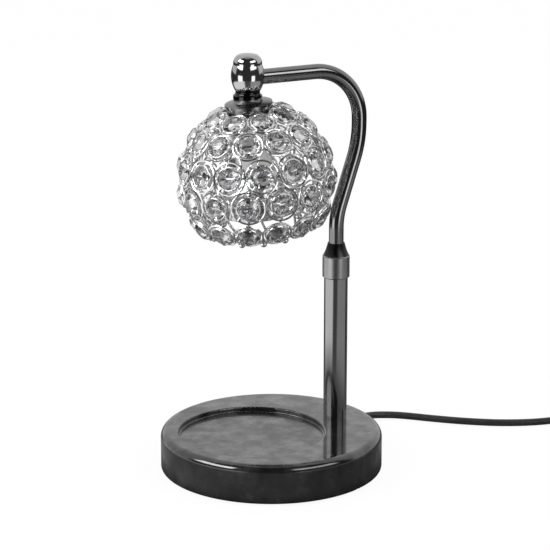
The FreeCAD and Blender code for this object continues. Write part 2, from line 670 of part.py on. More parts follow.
def placed(shape, origin, bearing):
    """Take a piece drawn along +X from zero to its place on the table."""
    moved = shape.copy()
    moved.Placement = FreeCAD.Placement(origin, FreeCAD.Rotation(UP, bearing)).multiply(moved.Placement)
    return moved


def dimmer():
    origin = Vec(LEAD_ROUTE[-1][0], LEAD_ROUTE[-1][1], 0)
    split = DIMMER_SPLIT_Z
    case = block(DIMMER_L, DIMMER_W, DIMMER_H, DIMMER_L / 2, 0, 0)
    case = case.makeFillet(DIMMER_ROUND, [e for e in case.Edges if abs(e.tangentAt(e.FirstParameter).z) > 0.9])
    case = case.makeFillet(DIMMER_ROUND / 2, [e for e in case.Edges if e.CenterOfMass.z > DIMMER_H - 0.01])
    room = block(DIMMER_L - 2 * DIMMER_WALL, DIMMER_W - 2 * DIMMER_WALL, DIMMER_H - 2 * DIMMER_WALL,
                 DIMMER_L / 2, 0, DIMMER_WALL)
    wheel_z = DIMMER_H + WHEEL_PROUD - WHEEL_D / 2
    middle = DIMMER_L / 2
    slot = block(WHEEL_D + 2 * WHEEL_GAP, WHEEL_W + 2 * WHEEL_GAP, DIMMER_H, middle, 0, split)
    shell = case.cut(room).cut(slot)
    above = block(2 * DIMMER_L, 2 * DIMMER_W, DIMMER_H, middle, 0, split)
    boss_y = DIMMER_W / 2 - DIMMER_WALL - 3
    lower = shell.cut(above)
    upper = shell.common(above)
    screws = []
    for end in (7.0, DIMMER_L - 7.0):
        pillar = ring(5.0, 2.0, DIMMER_WALL, split - DIMMER_WALL, end, boss_y)
        lower = lower.fuse(pillar).cut(rod(2.0, DIMMER_WALL / 2, split, end, boss_y))
        cap = ring(5.0, 2.0, split, DIMMER_H - DIMMER_WALL - split, end, boss_y)
        upper = upper.fuse(cap)
        screws.append(rod(2.0, DIMMER_WALL / 2, DIMMER_H - 2 * DIMMER_WALL, end, boss_y))
    across = Vec(0, 1, 0)
    axle_hole = Part.makeCylinder(AXLE_D / 2 + RUN_GAP, DIMMER_W, Vec(middle, -DIMMER_W / 2, wheel_z), across)
    for side in (-1, 1):
        bearing = block(2 * AXLE_D, BEARING_T, wheel_z + AXLE_D - DIMMER_WALL, middle,
                        side * (WHEEL_W / 2 + WHEEL_GAP + 1 + BEARING_T / 2), DIMMER_WALL)
        lower = lower.fuse(bearing.cut(axle_hole))
    save("dimmer_lower_shell", placed(lower, origin, DIMMER_BEARING))
    save("dimmer_upper_shell", placed(upper, origin, DIMMER_BEARING))
    save("dimmer_screws", *[placed(s, origin, DIMMER_BEARING) for s in screws])

    wheel = Part.makeCylinder(WHEEL_D / 2, WHEEL_W, Vec(middle, -WHEEL_W / 2, wheel_z), across)
    wheel = wheel.cut(Part.makeCylinder(AXLE_D / 2, WHEEL_W, Vec(middle, -WHEEL_W / 2, wheel_z), across))
    notch = Part.makeCylinder(0.45, WHEEL_W, Vec(middle, -WHEEL_W / 2, wheel_z + WHEEL_D / 2 + 0.15), across)
    notches = []
    for k in range(WHEEL_NOTCHES):
        cutter = notch.copy()
        cutter.rotate(Vec(middle, 0, wheel_z), across, 360.0 * k / WHEEL_NOTCHES)
        notches.append(cutter)
    save("dimmer_wheel", placed(wheel.cut(notches), origin, DIMMER_BEARING))
    axle_half = WHEEL_W / 2 + WHEEL_GAP + 1 + BEARING_T
    save("dimmer_axle", placed(Part.makeCylinder(
        AXLE_D / 2, 2 * axle_half, Vec(middle, -axle_half, wheel_z), across), origin, DIMMER_BEARING))
    pot = Part.makeCylinder(POT_D / 2, DIMMER_W / 2 - DIMMER_WALL - axle_half - POT_GAP,
                            Vec(middle, axle_half + POT_GAP, wheel_z), across)
    pot = pot.common(block(DIMMER_L, DIMMER_W, DIMMER_H - 2 * DIMMER_WALL - 0.2, middle, 0, DIMMER_WALL))
    save("dimmer_control", placed(pot, origin, DIMMER_BEARING))
    return origin


def arc_from(start, along, end):
    """The arc that leaves start in a given direction and reaches end."""
    chord = end - start
    side = chord - along * chord.dot(along)
    if side.Length < 1e-7:
        return Part.LineSegment(start, end).toShape()
    side.normalize()
    radius = chord.dot(chord) / (2 * chord.dot(side))
    centre = start + side * radius
    middle = start + (end - start) * 0.5 - centre
    middle.normalize()
    return Part.Arc(start, centre + middle * radius, end).toShape()


def biarc(start, leaving, end, arriving):
    """Two tangent arcs from one point and direction to another."""
    chord = end - start
    both = leaving + arriving
    a = 2 * (1 - leaving.dot(arriving))
    b = chord.dot(both)
    reach = (-b + math.sqrt(b * b + a * chord.dot(chord))) / a if a > 1e-9 else chord.dot(chord) / (2 * b)
    joint = (start + end + (leaving - arriving) * reach) * 0.5
    first = arc_from(start, leaving, joint)
    back = arc_from(end, -arriving, joint)
    ends = (joint, back.valueAt((back.FirstParameter + back.LastParameter) / 2), end)
    second = Part.Arc(*ends).toShape() if back.Curve.TypeId == "Part::GeomCircle" else Part.makeLine(joint, end)
    return [first, second]


def coil_point(turns):
    """Middle of the lead after so many turns: in by layers one, up a layer, and out again."""
    low, high = COIL_TURNS, COIL_TURNS + 0.5
    if turns <= low:
        inward, rise = turns, 0.0
    elif turns <= high:
        inward, rise = turns - 2 * (turns - low) ** 2, (turns - low) / 0.5
    else:
        inward, rise = low + high - turns, 1.0
    radius = COIL_OUTER - COIL_PITCH * inward
    climb = rise * rise * (3 - 2 * rise)
    angle = 2 * math.pi * turns - math.pi / 2
    return Vec(radius * math.cos(angle), radius * math.sin(angle), COIL_LIFT + CORD_D / 2 + COIL_PITCH * climb)


def coil_direction(turns):
    step = 1e-4
    ahead = coil_point(turns + step) - coil_point(turns - step)
    ahead.normalize()
    return ahead


def loose_lead():
    """The lead beyond the dimmer: a short run, the coil, and a tail that ends in the plug."""
    start = Vec(DIMMER_L, 0, DIMMER_SPLIT_Z)
    middle = Vec(DIMMER_L + COIL_AFTER, COIL_OUTER, 0)
    total = 2 * COIL_TURNS + 0.5
    quarters = int(round(total * 4))
    knots = [k / 4 for k in range(quarters + 1)]
    first = middle + coil_point(0)
    entry, _ = rounded_route([tuple(start), (start.x + ENTRY_EASE, 0, DIMMER_SPLIT_Z), (first.x - ENTRY_EASE, 0, first.z),
                              tuple(first)])
    save("coil_entry_lead", placed(swept(entry, CORD_D), dimmer_origin, DIMMER_BEARING))
    edges, samples = [], []
    for here, there in zip(knots, knots[1:]):
        flat_in = coil_direction(here) if here > 0 else Vec(1, 0, 0)
        flat_out = coil_direction(there) if there < total else Vec(-1, 0, 0)
        edges += biarc(middle + coil_point(here), flat_in, middle + coil_point(there), flat_out)
    wire = Part.Wire(edges)
    last = middle + coil_point(total)
    ring_face = Part.Wire(Part.makeCircle(CORD_D / 2, first, Vec(1, 0, 0)))
    solid = wire.makePipeShell([ring_face], True, False)
    print(f"coil length {wire.Length:.1f} volume ratio {solid.Volume / (math.pi * CORD_D ** 2 / 4 * wire.Length):.4f}")
    for k in range(int(total * 72) + 1):
        samples.append((k / 72, coil_point(k / 72)))
    gap = min((p - q).Length for i, (a, p) in enumerate(samples) for b, q in samples[i:] if b - a > 0.5) - CORD_D
    print(f"coil least gap to itself {gap:.2f}")
    save("cord_coil", placed(solid, dimmer_origin, DIMMER_BEARING))

    tie_in = COIL_OUTER - COIL_PITCH * (COIL_TURNS + 0.5) - CORD_D / 2 - TIE_GAP
    tie_out = COIL_OUTER + CORD_D / 2 + TIE_GAP
    tie_top = COIL_LIFT + CORD_D + COIL_PITCH + TIE_GAP
    tie_foot = COIL_LIFT - TIE_GAP
    tie = Part.makeBox(tie_out - tie_in + 2 * TIE_T, TIE_W, tie_top - tie_foot + 1.5 * TIE_T,
                       Vec(tie_in - TIE_T, -TIE_W / 2, tie_foot - TIE_T / 2))
    tie = tie.cut(Part.makeBox(tie_out - tie_in, TIE_W, tie_top - tie_foot, Vec(tie_in, -TIE_W / 2, tie_foot)))
    tie.translate(Vec(middle.x, middle.y, 0))
    save("cord_tie", placed(tie, dimmer_origin, DIMMER_BEARING))

    plug_z = PLUG_T / 2
    relief_end = last + Vec(-2 * TAIL_RUN, 0, plug_z - last.z)
    tail, radii = rounded_route([tuple(last), (last.x - TAIL_RUN * 0.62, last.y, last.z - 0.8),
                                 (last.x - TAIL_RUN * 1.3, last.y + 1.2, plug_z),
                                 (relief_end.x, relief_end.y + 1.2, plug_z)])
    print("tail radii", [round(r, 1) for r in radii])
    save("plug_lead", placed(swept(tail, CORD_D), dimmer_origin, DIMMER_BEARING))
    return relief_end + Vec(0, 1.2, 0)


def plug(mouth):
    back = Vec(-1, 0, 0)
    relief = tapered(CORD_D + 1.6, CORD_D + 4.5, PLUG_RELIEF_L, mouth, back)
    body = Part.makeBox(PLUG_L, PLUG_W, PLUG_T, Vec(mouth.x - PLUG_RELIEF_L - PLUG_L, mouth.y - PLUG_W / 2, 0))
    body = body.makeFillet(PLUG_ROUND, [e for e in body.Edges if abs(e.tangentAt(e.FirstParameter).x) > 0.9])
    body = body.fuse(relief)
    blades = []
    for side in (-1, 1):
        face_x = mouth.x - PLUG_RELIEF_L - PLUG_L
        blade = Part.makeBox(BLADE_L + BLADE_ROOT, BLADE_T, BLADE_W,
                             Vec(face_x - BLADE_L, mouth.y + side * BLADE_PITCH / 2 - BLADE_T / 2,
                                 mouth.z - BLADE_W / 2))
        blades.append(blade)
        body = body.cut(blade)
    save("plug_body", placed(body, dimmer_origin, DIMMER_BEARING))
    save("plug_blades", *[placed(b, dimmer_origin, DIMMER_BEARING) for b in blades])


foot_and_post()
height_lock()
arm()
barrel()
lampholder()
bulb()
shade()
lead_start, relief_tip = inner_leads()
table_route, table_radii = rounded_route([tuple(relief_tip)] + list(LEAD_ROUTE))
print("relief tip at", [round(v, 2) for v in relief_tip], "radii", [round(r, 1) for r in table_radii])
table_route = Part.Wire([Part.LineSegment(lead_start, relief_tip).toShape()] + table_route.OrderedEdges)
table_lead = swept(table_route, CORD_D)
print(f"lead length {table_route.Length:.1f} volume ratio "
      f"{table_lead.Volume / (math.pi * CORD_D ** 2 / 4 * table_route.Length):.4f}")
save("cord_lead", table_lead)
dimmer_origin = dimmer()
plug(loose_lead())
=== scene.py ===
import math

import bmesh
import bpy
from mathutils import Matrix, Vector


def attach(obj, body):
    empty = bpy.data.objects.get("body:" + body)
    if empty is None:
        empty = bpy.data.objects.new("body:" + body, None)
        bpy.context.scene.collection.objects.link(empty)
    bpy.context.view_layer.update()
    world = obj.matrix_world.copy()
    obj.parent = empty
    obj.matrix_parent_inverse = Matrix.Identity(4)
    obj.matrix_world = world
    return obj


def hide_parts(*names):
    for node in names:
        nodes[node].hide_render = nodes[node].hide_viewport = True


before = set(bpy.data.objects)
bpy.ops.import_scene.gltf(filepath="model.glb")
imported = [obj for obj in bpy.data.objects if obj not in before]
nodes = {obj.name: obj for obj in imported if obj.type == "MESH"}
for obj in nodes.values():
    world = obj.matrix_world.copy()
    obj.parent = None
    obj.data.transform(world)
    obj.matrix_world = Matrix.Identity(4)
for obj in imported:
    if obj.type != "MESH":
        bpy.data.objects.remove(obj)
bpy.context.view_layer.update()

# The photographer's camera stands a metre and a half away, a little above the lamp.
# A long lens keeps the foot's circle and the ball free of strong perspective.
swing, pitch = math.radians(-27.0), math.radians(15.85)
to_right = Vector((math.cos(swing), math.sin(swing), 0.0))
to_front = Vector((math.sin(swing), -math.cos(swing), 0.0))
to_camera = Vector((
    math.sin(swing) * math.cos(pitch), -math.cos(swing) * math.cos(pitch), math.sin(pitch)))
aim = to_right * 0.00249 + Vector((0.0, 0.0, 0.1351))
camera_distance = 1.5
film_width, focal_pixels, frame_pixels = 36.0, 2255.0, 550.0
camera = bpy.data.objects.new("camera", bpy.data.cameras.new("camera"))
camera.data.lens = film_width * focal_pixels / frame_pixels
camera.data.sensor_width = film_width
camera.location = aim + to_camera * camera_distance
camera.rotation_euler = to_camera.to_track_quat("Z", "Y").to_euler()
bpy.context.collection.objects.link(camera)
bpy.context.scene.camera = camera
bpy.context.scene.view_settings.view_transform = "Standard"


# The studio: a white backdrop behind the lamp, and a dim room on the camera's side. Low
# strips of light and two softboxes, which only mirrors show, draw the highlights on stone,
# metal and glass. The camera itself sees plain white.
class Wire:
    """A wire in a node tree. Sums on it add Math nodes, and node() adds any other node."""

    def __init__(self, tree, socket=None):
        self.tree = tree
        self.socket = socket

    def node(self, kind, settings=(), inputs=(), output=0):
        made = self.tree.nodes.new(kind)
        for name, value in dict(settings).items():
            if name != "stops":
                setattr(made, name, value)
                continue
            while len(made.color_ramp.elements) < len(value):
                made.color_ramp.elements.new(0.5)
            for stop, (place, colour) in zip(made.color_ramp.elements, value):
                stop.position = place
                stop.color = (*colour, 1.0)
        for name, value in dict(inputs).items():
            if isinstance(value, Wire):
                self.tree.links.new(value.socket, made.inputs[name])
            else:
                made.inputs[name].default_value = value
        return Wire(self.tree, made.outputs[output] if made.outputs else None)

    def sum(self, operation, first, second):
        return self.node("ShaderNodeMath", {"operation": operation}, {0: first, 1: second})

    def __add__(self, other):
        return self.sum("ADD", self, other)

    def __radd__(self, other):
        return self.sum("ADD", other, self)

    def __sub__(self, other):
        return self.sum("SUBTRACT", self, other)

    def __rsub__(self, other):
        return self.sum("SUBTRACT", other, self)

    def __mul__(self, other):
        return self.sum("MULTIPLY", self, other)

    def __rmul__(self, other):
        return self.sum("MULTIPLY", other, self)

    def between(self, low, high):
        """0 below low, 1 above high, smooth between."""
        return self.node("ShaderNodeMapRange", {"interpolation_type": "SMOOTHSTEP"},
                         {"Value": self, "From Min": low, "From Max": high})

    def along(self, axis):
        """How far this vector reaches along an axis of length 1."""
        return self.node("ShaderNodeVectorMath", {"operation": "DOT_PRODUCT"},
                         {0: self, 1: axis}, "Value")


white = (1.0, 1.0, 1.0, 1.0)
upward = (0.0, 0.0, 1.0)
world = bpy.data.worlds.new("studio")
world.use_nodes = True
world.node_tree.nodes.clear()
bpy.context.scene.world = world
air = Wire(world.node_tree)
direction = air.node("ShaderNodeTexCoord", output="Generated")
height = direction.along(upward)
toward = direction.along(to_front)
round_about = air.sum("ARCTAN2", direction.along(to_right), toward)
bearing_blur, height_blur = 0.05, 0.03


def patch(left, right, low, high):
    """A soft-edged light patch between two bearings from the camera's side and two heights."""
    across = (round_about.between(left - bearing_blur, left + bearing_blur)
              * (1.0 - round_about.between(right - bearing_blur, right + bearing_blur)))
    return (across * height.between(low - height_blur, low + height_blur)
            * (1.0 - height.between(high - height_blur, high + height_blur)))


dark_room, backdrop_level, ceiling_level, fill_level = 0.05, 0.80, 0.45, 1.05
backdrop = ((1.0 - toward.between(-0.12, 0.12)) * height.between(-0.04, 0.0)
            * (1.0 - height.between(0.93, 0.99)))
ceiling = height.between(0.93, 0.98)
low_strips = 2.4 * patch(-1.19, -0.63, -0.50, -0.03) + 2.4 * patch(0.50, 0.90, -0.50, -0.03)
softboxes = 8.0 * patch(-1.54, -0.72, 0.36, 0.68) + 3.0 * patch(0.42, 1.30, 0.36, 0.66)
mirrored = air.node("ShaderNodeLightPath", output="Is Glossy Ray")
room_level = (dark_room + backdrop_level * backdrop + low_strips + softboxes * mirrored
              + ceiling_level * ceiling)
seen = air.node("ShaderNodeLightPath", output="Is Camera Ray")
spread_light = air.node("ShaderNodeLightPath", output="Is Diffuse Ray")
level = room_level * (1.0 - seen) + seen
level = level * (1.0 - spread_light) + fill_level * spread_light
sky = air.node("ShaderNodeBackground", (), {"Color": white, "Strength": level})
air.node("ShaderNodeOutputWorld", (), {"Surface": sky})


# The table is matt white, and the camera and the glass see it so. Polished stone and
# metal see painted light on it instead: a glow, dark round the foot as a painted shadow,
# bright at the left, less so at the right, and open to the room further out.
def new_material(name):
    made = bpy.data.materials.new(name)
    made.use_nodes = True
    made.node_tree.nodes.clear()
    return made, Wire(made.node_tree)


def link_mesh(name, shape, finish):
    """Close a bmesh into an object at the origin, with one material."""
    mesh = bpy.data.meshes.new(name)
    shape.to_mesh(mesh)
    shape.free()
    mesh.materials.append(finish)
    piece = bpy.data.objects.new(name, mesh)
    bpy.context.collection.objects.link(piece)
    return piece


table_white, wire = new_material("table_white")
paper = wire.node("ShaderNodeBsdfDiffuse", (), {"Color": (0.86, 0.86, 0.86, 1.0)})
glow = wire.node("ShaderNodeEmission", (), {"Color": white, "Strength": 1.0})
looked_at = wire.sum(
    "MAXIMUM", wire.node("ShaderNodeLightPath", output="Is Camera Ray"),
    wire.node("ShaderNodeLightPath", output="Is Transmission Ray"))
glow_share = 0.93
table_look = wire.node(
    "ShaderNodeMixShader", (), {0: looked_at * glow_share, 1: paper, 2: glow})
spot = wire.node("ShaderNodeTexCoord", output="Object")
spot_round = wire.sum("ARCTAN2", spot.along(to_right), spot.along(to_front))
spot_away = wire.node("ShaderNodeVectorMath", {"operation": "LENGTH"}, {0: spot}, "Value")
left_side = (1.0 - spot_round.between(-0.55, -0.28)) * spot_round.between(-2.4, -2.1)
right_side = spot_round.between(0.22, 0.50) * (1.0 - spot_round.between(1.7, 2.0))
# Painted light: how bright the table glows in mirrors, near the lamp and further out.
near_level = 0.20 + 0.10 * left_side - 0.07 * right_side
far_level = 0.12 + 1.15 * left_side + 0.36 * right_side
outward = spot_away.between(0.13, 0.26)
# Painted shadow round the foot, in the glow that mirrors see.
painted_foot_shadow = 0.1 + 0.9 * spot_away.between(0.070, 0.098)
painted_table_light = (near_level * (1.0 - outward) + far_level * outward) * painted_foot_shadow
table_mirrored = wire.node("ShaderNodeEmission", (), {"Color": white, "Strength": painted_table_light})
far_off = spot_away.between(0.62, 0.78)
open_air = wire.node("ShaderNodeBsdfTransparent")
table_mirrored = wire.node(
    "ShaderNodeMixShader", (), {0: far_off, 1: table_mirrored, 2: open_air})
in_mirror = wire.node("ShaderNodeLightPath", output="Is Glossy Ray")
table_look = wire.node(
    "ShaderNodeMixShader", (), {0: in_mirror, 1: table_look, 2: table_mirrored})
wire.node("ShaderNodeOutputMaterial", (), {"Surface": table_look})
table_radius, table_gap = 5.0, 0.0003
table = bmesh.new()
bmesh.ops.create_circle(table, cap_ends=True, segments=96, radius=table_radius,
                        matrix=Matrix.Translation((0.0, 0.0, -table_gap)))
table_top = link_mesh("table_top", table, table_white)

# Two softboxes stand high at the left and the right of the camera. Metal and glass don't
# mirror the lamps themselves, but the softbox patches of the studio above.
lit_point = Vector((0.0, 0.0, 0.13))
softbox_distance = 1.35
for name, bearing, rise, wide, tall, power in (
    ("softbox_left", -50.0, 33.0, 0.95, 0.95, 6.0),
    ("softbox_right", 48.0, 33.0, 0.80, 0.95, 3.5),
):
    lamp = bpy.data.lights.new(name, "AREA")
    lamp.shape = "RECTANGLE"
    lamp.size = wide
    lamp.size_y = tall
    lamp.energy = power
    turn, up = swing + math.radians(bearing), math.radians(rise)
    away = Vector((math.sin(turn) * math.cos(up), -math.cos(turn) * math.cos(up), math.sin(up)))
    holder = bpy.data.objects.new(name, lamp)
    holder.visible_glossy = False
    holder.location = lit_point + away * softbox_distance
    holder.rotation_euler = away.to_track_quat("Z", "Y").to_euler()
    bpy.context.collection.objects.link(holder)


# The mains lead is round black PVC, 5 mm across. It leaves the back of the foot, turns
# past the post's side to an in-line dimmer, and ends in a tied coil and a moulded plug.
def lay_cord(name, points, diameter):
    """A round cord on one smooth line, with the points of its route as control points."""
    line = bpy.data.curves.new(name, "CURVE")
    line.dimensions = "3D"
    line.bevel_depth = diameter / 2
    line.bevel_resolution = 5
    line.use_fill_caps = True
    spline = line.splines.new("NURBS")
    spline.points.add(len(points) - 1)
    for knot, place in zip(spline.points, points):
        knot.co = (*place, 1.0)
    spline.order_u = 3
    spline.use_endpoint_u = True
    spline.resolution_u = 10
    piece = bpy.data.objects.new(name, line)
    bpy.context.collection.objects.link(piece)
    return piece


lead_diameter = 0.005
lead_black, wire = new_material("lead_black")
place = wire.node("ShaderNodeTexCoord", output="Object")
grain = wire.node("ShaderNodeTexNoise", (), {"Vector": place, "Scale": 900.0, "Detail": 3.0})
scuffs = wire.node("ShaderNodeTexNoise", (), {"Vector": place, "Scale": 70.0, "Detail": 4.0})
bump = wire.node("ShaderNodeBump", (), {"Height": grain, "Strength": 0.12, "Distance": 0.0002})
tone = wire.node("ShaderNodeValToRGB", {"stops": (
    (0.3, (0.010, 0.010, 0.011)), (0.7, (0.018, 0.018, 0.019)))}, {"Fac": scuffs})
skin = wire.node("ShaderNodeBsdfPrincipled", (), {
    "Base Color": tone, "Roughness": 0.34 + 0.16 * scuffs, "Normal": bump, "IOR": 1.5})
wire.node("ShaderNodeOutputMaterial", (), {"Surface": skin})

lead_route = (
    (0.0673, 0.0183, 0.0056), (0.0765, 0.0275, 0.0056), (0.0857, 0.0367, 0.0056),
    (0.0940, 0.0450, 0.0056), (0.1050, 0.0492, 0.0043), (0.1168, 0.0486, 0.0029),
    (0.1273, 0.0432, 0.0025), (0.1438, 0.0267, 0.0025), (0.1612, 0.0112, 0.0025),
    (0.1820, -0.0035, 0.0025), (0.2060, -0.0138, 0.0025), (0.2270, -0.0195, 0.0036),
    (0.2436, -0.0234, 0.0084), (0.2585, -0.0274, 0.0096),
)
mains_lead = lay_cord("mains_lead", lead_route, lead_diameter)
mains_lead.data.materials.append(lead_black)
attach(mains_lead, "foot")
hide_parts("cord_lead")

# The coil winds three turns inwards along the table, climbs in half a turn, and winds out
# again in three more on top of the first ones.
coil_middle = Vector((0.3688, -0.0176, 0.0))
coil_outer, coil_pitch, coil_lift = 0.038, 0.0057, 0.0012
coil_turns, lower_turns, climb_turns, steps_a_turn = 6.5, 3.0, 0.5, 16
coil_route = [(0.3145, -0.0424, 0.0096), (0.3290, -0.0463, 0.0094), (0.3445, -0.0504, 0.0042)]
for step in range(int(coil_turns * steps_a_turn) + 1):
    turns = step / steps_a_turn
    climbing = turns - lower_turns
    if climbing <= 0.0:
        inward = turns
    elif climbing <= climb_turns:
        inward = turns - climbing ** 2 / climb_turns
    else:
        inward = coil_turns - turns
    climb = min(max(climbing / climb_turns, 0.0), 1.0)
    climb = climb * climb * (3.0 - 2.0 * climb)
    radius = (coil_outer - coil_pitch * inward) / math.cos(math.pi / steps_a_turn)
    bearing = 2.0 * math.pi * turns - math.pi / 2 - math.radians(15.0)
    coil_route.append(tuple(coil_middle + Vector((
        radius * math.cos(bearing), radius * math.sin(bearing),
        coil_lift + lead_diameter / 2 + coil_pitch * climb))))
coil_route += [(0.3667, 0.0223, 0.0086), (0.3538, 0.0270, 0.0075), (0.3403, 0.0306, 0.0075)]
coiled_lead = lay_cord("coiled_lead", coil_route, lead_diameter)
coiled_lead.data.materials.append(lead_black)
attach(coiled_lead, "foot")
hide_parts("coil_entry_lead", "cord_coil", "plug_lead")


# The foot is a thick disc of black stone, turned and polished, with a shallow round
# recess for the jar, ground to a satin. It stands on a thin rubber pad.
def paint(finish, *names):
    """Give CAD nodes their material."""
    for name in names:
        for slot in nodes[name].material_slots:
            slot.material = finish


stone_black, wire = new_material("stone_black")
place = wire.node("ShaderNodeTexCoord", output="Object")
cloud = wire.node("ShaderNodeTexNoise", (), {
    "Vector": place, "Scale": 60.0, "Detail": 8.0, "Roughness": 0.66})
fleck = wire.node("ShaderNodeTexVoronoi", (), {"Vector": place, "Scale": 520.0})
tone = wire.node("ShaderNodeValToRGB", {"stops": (
    (0.30, (0.0035, 0.0035, 0.0038)), (0.52, (0.0080, 0.0080, 0.0083)),
    (0.75, (0.0260, 0.0260, 0.0265)))},
    {"Fac": cloud + 0.10 * (1.0 - fleck.between(0.0, 0.35)) - 0.02})
recess_middle, satin_radius, recess_radius = (-0.015, 0.0, 0.024), 0.0485, 0.0502
from_recess = wire.node("ShaderNodeVectorMath", {"operation": "DISTANCE"},
                        {0: place, 1: recess_middle}, "Value")
satin = 1.0 - from_recess.between(satin_radius, recess_radius)
wave = wire.node("ShaderNodeTexNoise", (), {"Vector": place, "Scale": 38.0, "Detail": 3.0})
bump = wire.node("ShaderNodeBump", (), {"Height": wave, "Strength": 0.10, "Distance": 0.0006})
skin = wire.node("ShaderNodeBsdfPrincipled", (), {
    "Base Color": tone, "Roughness": 0.05 + 0.10 * cloud + 0.16 * satin, "IOR": 1.72,
    "Coat Weight": 0.7 * cloud.between(0.35, 0.65),
    "Normal": bump})
wire.node("ShaderNodeOutputMaterial", (), {"Surface": skin})
paint(stone_black, "base_body")

pad_rubber, wire = new_material("pad_rubber")
place = wire.node("ShaderNodeTexCoord", output="Object")
grain = wire.node("ShaderNodeTexNoise", (), {"Vector": place, "Scale": 600.0, "Detail": 4.0})
bump = wire.node("ShaderNodeBump", (), {"Height": grain, "Strength": 0.3, "Distance": 0.0003})
skin = wire.node("ShaderNodeBsdfPrincipled", (), {
    "Base Color": (0.016, 0.016, 0.017, 1.0), "Roughness": 0.7 + 0.15 * grain, "Normal": bump})
wire.node("ShaderNodeOutputMaterial", (), {"Surface": skin})
paint(pad_rubber, "base_foot_pad")


# Post, lock nut, swan-neck arm, barrel and shade cap are steel and brass, polished and
# plated in dark nickel. Fine polishing lines run round each of them. The arm and the cap
# are painted darker as shade, and the nut's cone and the barrel's foot near black as shade.
def plated(name, low, high, roughness, line_depth, shaded_band=()):
    """Nickel between two greys. shaded_band is the foot and the top of a near-black band of
    painted shade.
    """
    finish, wire = new_material(name)
    place = wire.node("ShaderNodeTexCoord", output="Object")
    stretched = wire.node("ShaderNodeMapping", (), {"Vector": place, "Scale": (1.0, 1.0, 14.0)})
    lines = wire.node("ShaderNodeTexNoise", (), {
        "Vector": stretched, "Scale": 160.0, "Detail": 4.0})
    haze = wire.node("ShaderNodeTexNoise", (), {"Vector": place, "Scale": 30.0, "Detail": 3.0})
    tone = wire.node("ShaderNodeValToRGB", {"stops": (
        (0.3, (low, low, low * 1.01)), (0.7, (high, high, high * 1.01)))}, {"Fac": haze})
    # A band of painted shade, near black, between two heights.
    if shaded_band:
        band_foot, band_top = shaded_band
        rise = place.along(upward)
        black = (rise.between(band_foot - 0.0004, band_foot + 0.0004)
                 * (1.0 - rise.between(band_top - 0.0012, band_top + 0.0012)))
        # A Mix node takes its two colours at 6 and 7, and gives the mixed one at 2.
        tone = wire.node("ShaderNodeMix", {"data_type": "RGBA"},
                         {0: black, 6: tone, 7: (0.035, 0.035, 0.036, 1.0)}, 2)
    bump = wire.node("ShaderNodeBump", (), {
        "Height": lines, "Strength": line_depth, "Distance": 0.0001})
    skin = wire.node("ShaderNodeBsdfPrincipled", (), {
        "Base Color": tone, "Metallic": 1.0, "Roughness": roughness + 0.06 * lines,
        "Normal": bump})
    wire.node("ShaderNodeOutputMaterial", (), {"Surface": skin})
    return finish


nut_top = max(corner[2] for corner in nodes["lock_nut"].bound_box)
# Heights of the bands of painted shade on the nut's cone and on the barrel's foot.
nut_cone = (nut_top - 0.0085, nut_top + 0.01)
barrel_foot = (0.25, 0.2632)
dark_nickel = plated("dark_nickel", 0.29, 0.34, 0.09, 0.04)
# The arm and the shade cap take this same nickel in darker greys: painted shade.
arm_nickel_shade_painted = plated("arm_nickel_shade_painted", 0.18, 0.23, 0.09, 0.04)
satin_nickel = plated("satin_nickel", 0.32, 0.37, 0.28, 0.10, shaded_band=nut_cone)
barrel_nickel = plated("barrel_nickel", 0.42, 0.48, 0.07, 0.02, shaded_band=barrel_foot)
cap_nickel_shade_painted = plated("cap_nickel_shade_painted", 0.14, 0.20, 0.24, 0.03)
paint(dark_nickel, "post_tube")
paint(arm_nickel_shade_painted, "arm_tube")
paint(satin_nickel, "lock_nut")
paint(barrel_nickel, "barrel_body", "barrel_finial")
paint(cap_nickel_shade_painted, "shade_cap", "crown_ring")


# Fixings inside the lamp: zinc-plated steel stud, washer, nuts, nipple, bracket, screws and
# clips, and brass sleeve, collet, contacts, pins and plug blades. The bush is white plastic.
zinc_steel, wire = new_material("zinc_steel")
place = wire.node("ShaderNodeTexCoord", output="Object")
spangle = wire.node("ShaderNodeTexNoise", (), {"Vector": place, "Scale": 240.0, "Detail": 3.0})
tone = wire.node("ShaderNodeValToRGB", {"stops": (
    (0.3, (0.50, 0.51, 0.52)), (0.7, (0.62, 0.62, 0.63)))}, {"Fac": spangle})
skin = wire.node("ShaderNodeBsdfPrincipled", (), {
    "Base Color": tone, "Metallic": 1.0, "Roughness": 0.24 + 0.16 * spangle})
wire.node("ShaderNodeOutputMaterial", (), {"Surface": skin})
paint(zinc_steel, "stud", "stud_washer", "stud_nut", "post_plug", "bush_clips", "head_nipple",
      "nipple_nuts", "holder_bracket", "holder_screws", "dimmer_screws", "dimmer_axle")

plain_brass, wire = new_material("plain_brass")
place = wire.node("ShaderNodeTexCoord", output="Object")
tarnish = wire.node("ShaderNodeTexNoise", (), {"Vector": place, "Scale": 120.0, "Detail": 4.0})
tone = wire.node("ShaderNodeValToRGB", {"stops": (
    (0.3, (0.62, 0.44, 0.19)), (0.7, (0.78, 0.58, 0.28)))}, {"Fac": tarnish})
skin = wire.node("ShaderNodeBsdfPrincipled", (), {
    "Base Color": tone, "Metallic": 1.0, "Roughness": 0.20 + 0.2 * tarnish})
wire.node("ShaderNodeOutputMaterial", (), {"Surface": skin})
paint(plain_brass, "lock_sleeve", "grip_collet", "holder_contacts", "plug_blades", "bulb_pins")

bush_white, wire = new_material("bush_white")
place = wire.node("ShaderNodeTexCoord", output="Object")
grain = wire.node("ShaderNodeTexNoise", (), {"Vector": place, "Scale": 400.0, "Detail": 3.0})
skin = wire.node("ShaderNodeBsdfPrincipled", (), {
    "Base Color": (0.78, 0.77, 0.73, 1.0), "Roughness": 0.38 + 0.15 * grain})
wire.node("ShaderNodeOutputMaterial", (), {"Surface": skin})
paint(bush_white, "guide_bush")


